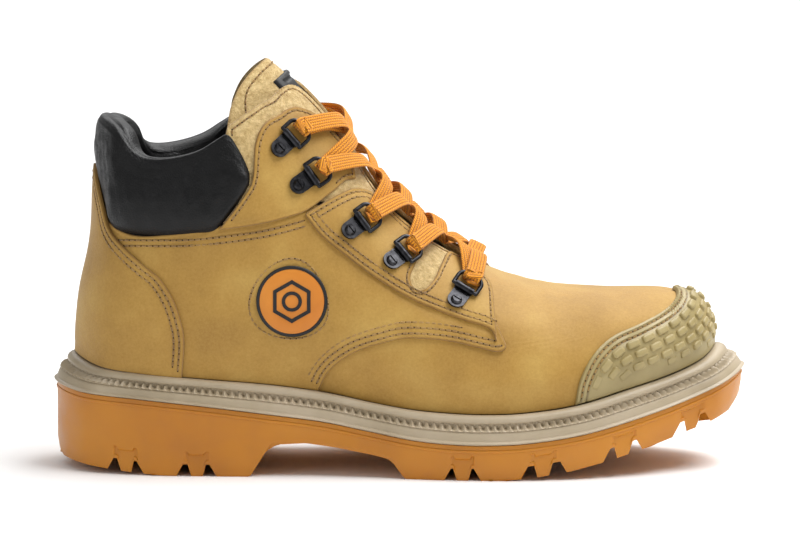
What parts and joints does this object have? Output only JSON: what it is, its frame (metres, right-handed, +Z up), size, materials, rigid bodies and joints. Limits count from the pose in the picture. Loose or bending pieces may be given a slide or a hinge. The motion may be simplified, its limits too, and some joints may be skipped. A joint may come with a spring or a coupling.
{
  "type": "steel toe work boot",
  "caption": "Mid-height lace-up work boot with a steel toe cap, padded collar, rubber toe guard, lugged sole and hinged lace rings.",
  "frame": {"origin": "on the ground under the middle of the boot", "axes": "+X to the toe, +Z up, the outer (little-toe) side at -Y"},
  "size_m": [0.3025, 0.1113, 0.1795],
  "materials": {
    "outsole_rubber": "satin moulded",
    "welt_rubber": "matt moulded",
    "midsole_foam": "matt",
    "shank_steel": "plain",
    "plate_steel": "plain",
    "cap_steel": "painted satin",
    "board": "matt",
    "footbed_fabric": "matt",
    "edge_strip": "matt",
    "guard_rubber": "matt moulded",
    "nubuck": "nubuck",
    "suede": "suede",
    "lining": "mesh",
    "stiffener": "matt",
    "collar_leather": "semi-gloss",
    "foam": "open-cell foam",
    "label_rubber": "satin",
    "badge_rubber": "satin",
    "gunmetal": "gunmetal plating",
    "lace_cord": "braided"
  },
  "bodies": {
    "boot": {"outsole": "outsole_rubber", "midsole": "midsole_foam", "welt": "welt_rubber", "shank": "shank_steel", "puncture_plate": "plate_steel", "insole_board": "board", "footbed": "footbed_fabric", "steel_toe_cap": "cap_steel", "toe_cap_edge_strip": "edge_strip", "toe_guard": "guard_rubber", "vamp": "nubuck", "vamp_lining": "lining", "quarter_outer": "nubuck", "quarter_inner": "nubuck", "backstay": "nubuck", "heel_stiffener": "stiffener", "collar_cover": "collar_leather", "collar_foam": "foam", "quarter_lining": "lining", "facing_outer": "suede", "facing_inner": "suede", "eyestay_top_outer": "nubuck", "eyestay_top_inner": "nubuck", "eyestay_low_outer": "nubuck", "eyestay_low_inner": "nubuck", "badge": "badge_rubber", "lace_clips_outer": "gunmetal", "lace_clips_inner": "gunmetal", "clip_rivets_outer": "gunmetal", "clip_rivets_inner": "gunmetal", "lace": "lace_cord"},
    "tongue": {"tongue_shell": "suede", "tongue_foam": "foam", "tongue_lining": "lining", "tongue_label": "label_rubber"},
    "ring_outer_1": {"d_ring_outer_1": "gunmetal"},
    "ring_outer_2": {"d_ring_outer_2": "gunmetal"},
    "ring_outer_3": {"d_ring_outer_3": "gunmetal"},
    "ring_outer_4": {"d_ring_outer_4": "gunmetal"},
    "ring_outer_5": {"d_ring_outer_5": "gunmetal"},
    "ring_inner_1": {"d_ring_inner_1": "gunmetal"},
    "ring_inner_2": {"d_ring_inner_2": "gunmetal"},
    "ring_inner_3": {"d_ring_inner_3": "gunmetal"},
    "ring_inner_4": {"d_ring_inner_4": "gunmetal"},
    "ring_inner_5": {"d_ring_inner_5": "gunmetal"}
  },
  "joints": [
    {"name": "ring_outer_1_hinge", "type": "hinge", "parent": "boot", "child": "ring_outer_1", "pos_m": [-0.04714, -0.03042, 0.14728], "axis": [0.6533, -0.0298, -0.7565], "range_deg": [-8, 30], "deforming": ["lace"]},
    {"name": "ring_outer_2_hinge", "type": "hinge", "parent": "boot", "child": "ring_outer_2", "pos_m": [-0.03818, -0.03365, 0.13111], "axis": [0.5742, -0.1287, -0.8085], "range_deg": [-8, 30], "deforming": ["lace"]},
    {"name": "ring_outer_3_hinge", "type": "hinge", "parent": "boot", "child": "ring_outer_3", "pos_m": [-0.01628, -0.03376, 0.11128], "axis": [0.6011, -0.132, -0.7882], "range_deg": [-8, 30], "deforming": ["lace"]},
    {"name": "ring_outer_4_hinge", "type": "hinge", "parent": "boot", "child": "ring_outer_4", "pos_m": [0.00157, -0.03359, 0.09764], "axis": [0.6348, -0.2385, -0.7349], "range_deg": [-8, 30], "deforming": ["lace"]},
    {"name": "ring_outer_5_hinge", "type": "hinge", "parent": "boot", "child": "ring_outer_5", "pos_m": [0.0281, -0.03636, 0.08232], "axis": [0.8459, -0.2016, -0.4938], "range_deg": [-8, 30], "deforming": ["lace"]},
    {"name": "ring_inner_1_hinge", "type": "hinge", "parent": "boot", "child": "ring_inner_1", "pos_m": [-0.04714, 0.03042, 0.14728], "axis": [-0.6533, -0.0298, 0.7565], "range_deg": [-8, 30], "deforming": ["lace"]},
    {"name": "ring_inner_2_hinge", "type": "hinge", "parent": "boot", "child": "ring_inner_2", "pos_m": [-0.03818, 0.03365, 0.13111], "axis": [-0.5742, -0.1287, 0.8085], "range_deg": [-8, 30], "deforming": ["lace"]},
    {"name": "ring_inner_3_hinge", "type": "hinge", "parent": "boot", "child": "ring_inner_3", "pos_m": [-0.01628, 0.03376, 0.11128], "axis": [-0.6009, -0.1323, 0.7883], "range_deg": [-8, 30], "deforming": ["lace"]},
    {"name": "ring_inner_4_hinge", "type": "hinge", "parent": "boot", "child": "ring_inner_4", "pos_m": [0.00157, 0.03371, 0.09764], "axis": [-0.6315, -0.2418, 0.7367], "range_deg": [-8, 30], "deforming": ["lace"]},
    {"name": "ring_inner_5_hinge", "type": "hinge", "parent": "boot", "child": "ring_inner_5", "pos_m": [0.0281, 0.03704, 0.08232], "axis": [-0.8377, -0.2131, 0.5028], "range_deg": [-8, 30], "deforming": ["lace"]},
    {"name": "tongue_hinge", "type": "hinge", "parent": "boot", "child": "tongue", "pos_m": [0.05, 0, 0.078], "axis": [0, 1, 0], "range_deg": [-6, 0], "stiffness_Nm_per_rad": 2}
  ]
}
